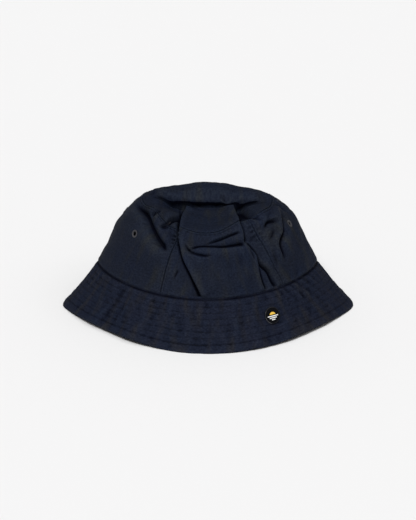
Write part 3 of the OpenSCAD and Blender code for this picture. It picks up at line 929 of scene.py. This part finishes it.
def top_tape():
    """Tape folded over the top seam's allowance, half on the wall and half on the top."""
    a = columns(0, 360)[None, :-1]
    t = wall_rows(TAPE_LOW, 1)[:-1]
    r = np.linspace(1, TAPE_FAR, int(16 / COARSE))[:, None]
    on_wall = slack(wall_relief(*np.broadcast_arrays(a, t)))
    on_top = slack(top_relief(*np.broadcast_arrays(eased(a, 1), r)))

    def surface(depth):
        return np.vstack([crown_wall(a, t, depth + on_wall), crown_top(a, r, depth + on_top)])

    rise = np.vstack([t * WALL_RISE, WALL_RISE + (1 - r) * TOP_REACH])
    flat = np.stack(np.broadcast_arrays(a, rise), -1)
    return shell("Tape_top", surface(TAPE_AT), surface(TAPE_AT + TAPE_T), flat, True)


finish_piece(top_tape(), tape_cloth, "top_seam_tape")

for name, node, slot, cloth, place in (
        ("Sweatband_backing", "sweatband_backing", "sweatband_backing", tape_cloth,
         (0, 360, 0.0, BACKING_TOP, BACKING_AT, BACKING_T, True)),
        ("Sweatband", "sweatband", "sweatband_twill", band_cloth,
         (0, 360, 0.0, BAND_TOP, BAND_AT, BAND_T, True)),
        ("Label_blank", "brand_label", "woven_label", label_cloth, (*BRAND_PLACE, LABEL_AT, LABEL_T)),
        ("Label_size", "size_label", "woven_label", label_cloth, (*SIZE_PLACE, LABEL_AT, LABEL_T)),
        ("Label_care", "care_label", "printed_label", ribbon_cloth, (*CARE_PLACE, TAPE_AT, LABEL_T))):
    finish_piece(wall_piece(name, *place), cloth, node)

# ---- Stitches --------------------------------------------

SIDES_OF_THREAD = 6
STITCH_GAP = 0.7
THREAD_RADIUS = 0.19


def stitches(name, rows, pitch):
    """Lockstitches along rows of (points, normals): each dips into the cloth at its ends."""
    ring_turn = np.arange(SIDES_OF_THREAD) * 2 * np.pi / SIDES_OF_THREAD
    stations = np.array([0.0, 0.3, 0.7, 1.0])
    sink = np.array([-0.2, 0.04, 0.04, -0.2])
    swell = np.array([0.75, 1.0, 1.0, 0.75])
    k, s = len(stations), SIDES_OF_THREAD
    base = (np.arange(k - 1)[:, None] * s + np.arange(s)[None, :]).ravel()
    after = (np.arange(k - 1)[:, None] * s + (np.arange(s) + 1)[None, :] % s).ravel()
    tube = np.stack([base, after, after + s, base + s], -1).tolist()
    caps = [list(range(s))[::-1], list(range((k - 1) * s, k * s))]
    points, faces, count = [], [], 0
    for p, n in rows:
        length = np.concatenate([[0], np.cumsum(np.linalg.norm(np.diff(p, axis=0), axis=1))])
        total = int(length[-1] / pitch)
        step = length[-1] / total
        start = np.arange(total)[:, None] * step + STITCH_GAP / 2
        at = start + stations[None, :] * (step - STITCH_GAP)
        centre = np.stack([np.interp(at, length, p[:, c]) for c in range(3)], -1)
        up = unit(np.stack([np.interp(at, length, n[:, c]) for c in range(3)], -1))
        ahead = unit(centre[:, -1:] - centre[:, :1])
        across = unit(np.cross(ahead, up))
        centre = centre + up * sink[None, :, None]
        turn = ring_turn[None, None, :, None]
        circle = np.cos(turn) * across[:, :, None] + np.sin(turn) * up[:, :, None]
        body = centre[:, :, None] + THREAD_RADIUS * swell[None, :, None, None] * circle
        points.append(body.reshape(-1, 3))
        for i in range(total):
            first = count + i * k * s
            faces += [[first + v for v in f] for f in tube + caps]
        count += total * k * s
    return add_mesh(name, np.vstack(points), faces)


def brim_row(z, side, step=0.3):
    a = np.arange(0, 360 + step, step)
    u = np.full(a.shape, 1 - z / BRIM_H)
    return brim_face(a, u, side), brim_normal(a, u) * side


rows = [brim_row(z, side) for z in ROW_Z for side in (1, -1)]
finish_piece(stitches("Stitches_brim", rows, pitch=3.1), dark_thread, "brim_stitching")


def wall_row(a, t, depth=0.0, face=1):
    return crown_wall(a, t, depth), wall_normal(a, t) * face


ALL_ROUND = np.arange(0, 360.4, 0.4)


def crown_rows():
    """Rows beside the four wall seams, and above and below the top seam."""
    rows = []
    t = np.linspace(0.02, 0.965, 200)
    for seam in SEAMS.values():
        across = np.linalg.norm(wall(seam + 0.5, t) - wall(seam - 0.5, t), axis=-1)
        for way in (-1, 1):
            rows.append(wall_row(seam + way * SEAM_ROW / across, t))
    a = ALL_ROUND
    r = np.full(a.shape, 1 - SEAM_ROW / TOP_REACH)
    rows.append(wall_row(a, np.full(a.shape, 1 - SEAM_ROW / WALL_RISE)))
    rows.append((crown_top(a, r), top_normal(a, r)))
    return rows


finish_piece(stitches("Stitches_crown", crown_rows(), pitch=2.7), dark_thread,
             "crown_stitching")
band_row = wall_row(ALL_ROUND, np.full(ALL_ROUND.shape, 0.035), BAND_AT + BAND_T, -1)
finish_piece(stitches("Stitches_sweatband", [band_row], pitch=3.0), dark_thread,
             "sweatband_stitching")

# ---- Eyelets ---------------------------------------------


def lathe(name, outline, segments, place, axis, wave):
    """Closed outline of (radius, height) points turned round an axis; wave(angle) scales
    how far each point stands from the middle of the outline."""
    ring_turn = np.arange(segments) * 2 * np.pi / segments
    shape = np.array(outline, float)
    middle = shape.mean(axis=0)
    frame_z = unit(np.array(axis, float))
    side = unit(np.cross([0.0, 0.0, 1.0], frame_z))
    up = np.cross(frame_z, side)
    grown = middle + (shape[:, None] - middle) * wave(ring_turn)[None, :, None]
    radius, height = grown[..., 0], grown[..., 1]
    circle = (np.cos(ring_turn)[None, :, None] * side
              + np.sin(ring_turn)[None, :, None] * up)
    points = np.array(place) + radius[..., None] * circle + height[..., None] * frame_z
    last = (len(shape) - 1) * segments
    i = np.arange(segments)
    j = (i + 1) % segments
    closing = np.stack([last + i, last + j, j, i], -1)
    quads = np.vstack([grid_faces(len(shape), segments, True), closing])
    return add_mesh(name, points.reshape(-1, 3), quads)


EYELET_INNER, EYELET_OUTER = 2.1, 3.7
LOBE, FOOT = 0.34, 1.0     # how fat the thread lies, and how much wider inside the hat


def thread_ring(low, high, steps=7):
    """Cross-section of a thread ring that grips the cloth edge between two heights: a fat
    lobe above, a barrel and a wider lobe below."""
    mid = (EYELET_INNER + EYELET_OUTER) / 2
    half = (EYELET_OUTER - EYELET_INNER) / 2
    turn = np.linspace(0, np.pi, steps)
    upper = [(mid + half * np.cos(q), high + LOBE * np.sin(q)) for q in turn]
    lower = [(mid + FOOT / 2 - (half + FOOT / 2) * np.cos(q), low - LOBE * np.sin(q)) for q in turn]
    barrel_r = EYELET_INNER + 0.75
    return upper + lower + [(barrel_r, low), (barrel_r, high)]


def overcast(turn):
    """The stitches that go round the ring: thirty small bulges, slightly uneven."""
    return 1 + 0.055 * np.cos(30 * turn) + 0.02 * np.cos(7 * turn + 1)


for node, a in EYELETS.items():
    grip = thread_ring(-SHELL_T - GAP, 0.0)
    outward = normal_of(crown_wall, a, EYELET_T, turn=0.6, step=0.012)
    ring_piece = lathe("Eyelet_" + node.replace("_eyelet", ""), grip, segments=180,
                       place=crown_wall(a, EYELET_T), axis=outward, wave=overcast)
    finish_piece(ring_piece, eyelet_thread, node)

# ---- Badge -----------------------------------------------

for node, material in {
    "badge_cup": badge_metal, "badge_post": badge_metal, "badge_enamel": black_enamel,
    "badge_sun": yellow_enamel, "badge_horizon": white_enamel,
    "clutch_base": clutch_brass, "clutch_wings": clutch_brass,
}.items():
    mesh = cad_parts[node].data
    mesh.materials.clear()
    mesh.materials.append(material)

# ---- Sizes of each piece of cloth, measured but not kept ---


def arc(line):
    return np.linalg.norm(np.diff(line, axis=0), axis=1).sum() / 1000


def wall_size(start, stop, low, high):
    """Lower and upper arc of a part of the wall, and its mean rise over the folds."""
    a, t = np.linspace(start, stop, 200), np.linspace(low, high, 20)
    rise = np.mean([arc(crown_wall(x, t)) for x in a[::22]])
    return arc(wall(a, low)), arc(wall(a, high)), rise


def brim_size(start, low, high):
    """Outer and inner arc of half the brim, and its rise."""
    a, u = np.linspace(start, start + 180, 400), np.linspace(low, high, 40)
    return arc(brim(a, high)), arc(brim(a, low)), arc(brim(start + 90, u))


for node, (start, stop) in PANELS.items():
    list(wall_size(start, stop, 0, 1))
r = np.linspace(0, 1, 20)
across, deep = (arc(crown_top(x, r)) + arc(crown_top(x + 180, r)) for x in (90, 0))
for half, start in (("front", -90), ("back", 90)):
    whole, short = brim_size(start, 0, 1), brim_size(start, STIFF_START, 1 - HEM_H / BRIM_H)
BAND_MIDDLE = 0.19         # share of the wall where the sweatband's length is measured
around = arc(wall(np.linspace(0, 360, 400), BAND_MIDDLE))
backing_rise, band_rise = (wall_size(0, 360, 0, high)[2] for high in (BACKING_TOP, BAND_TOP))
around = arc(wall(np.linspace(0, 360, 400), 1))
tape_rise = wall_size(0, 360, TAPE_LOW, 1)[2] + arc(top(0, np.linspace(TAPE_FAR, 1, 20)))
for name, place, under in (("Label_blank", BRAND_PLACE, "Sweatband"),
                           ("Label_care", CARE_PLACE, "Cloth_left_side_panel")):
    low_arc, high_arc, rise = wall_size(*place)

# ---- Light, floor and camera -----------------------------

FLOOR_REACH = 6            # metres
floor_mesh = bpy.data.meshes.new("Floor")
floor_mesh.from_pydata([(x * FLOOR_REACH, y * FLOOR_REACH, 0)
                        for x, y in ((-1, -1), (1, -1), (1, 1), (-1, 1))], [], [(0, 1, 2, 3)])
floor = new_object("Floor", floor_mesh)
paper = Nodes("Paper")
paper.set(Base_Color=rgb(0.790, 0.788, 0.789), Roughness=0.9, Specular_IOR_Level=0.1)
floor_mesh.materials.append(paper.material)

world = bpy.data.worlds.new("Studio")
bpy.context.scene.world = world
world.use_nodes = True
world.node_tree.nodes["Background"].inputs[0].default_value = (1, 1, 1, 1)
world.node_tree.nodes["Background"].inputs[1].default_value = 0.32
bpy.context.scene.view_settings.view_transform = "Standard"


def soft_sun(name, toward, strength, spread):
    """Broad, even light from a direction given as a vector towards the light."""
    data = bpy.data.lights.new(name, "SUN")
    data.energy = strength
    data.angle = np.radians(spread)
    new_object(name, data).rotation_euler = Vector(toward).to_track_quat("Z", "Y").to_euler()


soft_sun("Key", (-0.20, -0.78, 0.98), 2.8, 20)
soft_sun("Fill", (0.62, -0.42, 1.25), 0.62, 50)

CAMERA_DISTANCE = 2.62
camera_data = bpy.data.cameras.new("Camera")
camera_data.lens = 189.0
camera_data.sensor_width = 36
camera_data.clip_end = 50
camera = new_object("Camera", camera_data)
aim = Vector((0.0005, 0, 0.0472))
away = Vector((0, -np.cos(ELEVATION), np.sin(ELEVATION)))
camera.location = aim + CAMERA_DISTANCE * away
camera.rotation_euler = (-away).to_track_quat("-Z", "Y").to_euler()
bpy.context.scene.camera = camera
